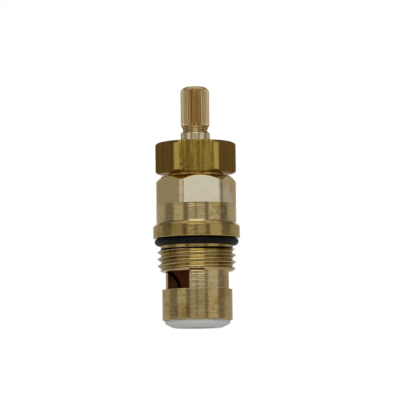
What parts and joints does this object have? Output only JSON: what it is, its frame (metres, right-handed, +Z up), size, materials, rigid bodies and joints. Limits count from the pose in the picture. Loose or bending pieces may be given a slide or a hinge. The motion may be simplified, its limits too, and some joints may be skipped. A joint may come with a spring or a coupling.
{
  "type": "ceramic disc tap cartridge",
  "caption": "Brass quarter-turn tap cartridge with a splined spindle, hexagon lock nut, flange with O-ring, pipe thread, water ports and a white seat seal around the inlet.",
  "frame": {"origin": "middle of the seat seal's lower face, where the cartridge stands", "axes": "+Z up along the spindle towards the splined end, +X out through one water port"},
  "size_m": [0.023, 0.023, 0.0639],
  "materials": {
    "body_brass": "turned and milled, bright",
    "nut_brass": "drawn bar, dull",
    "spindle_brass": "turned, bright",
    "black_rubber": "satin",
    "spring_steel": "bright",
    "slip_plastic": "smooth",
    "disc_ceramic": "lapped",
    "white_silicone": "matt"
  },
  "bodies": {
    "body": {"valve_body": "body_brass", "flange_oring": "black_rubber", "slip_washer": "slip_plastic", "lower_disc": "disc_ceramic", "seat_seal": "white_silicone"},
    "nut": {"lock_nut": "nut_brass"},
    "spindle_group": {"spindle": "spindle_brass", "spindle_circlip": "spring_steel", "upper_spindle_oring": "black_rubber", "lower_spindle_oring": "black_rubber", "upper_disc": "disc_ceramic"}
  },
  "joints": [
    {"name": "spindle_turn", "type": "hinge", "parent": "body", "child": "spindle_group", "pos_m": [0, 0, 0.03], "axis": [0, 0, 1], "range_deg": [0, 90]},
    {"name": "nut_turn", "type": "hinge", "parent": "body", "child": "nut", "pos_m": [0, 0, 0.0448], "axis": [0, 0, 1], "range_deg": [-200, 360]}
  ]
}
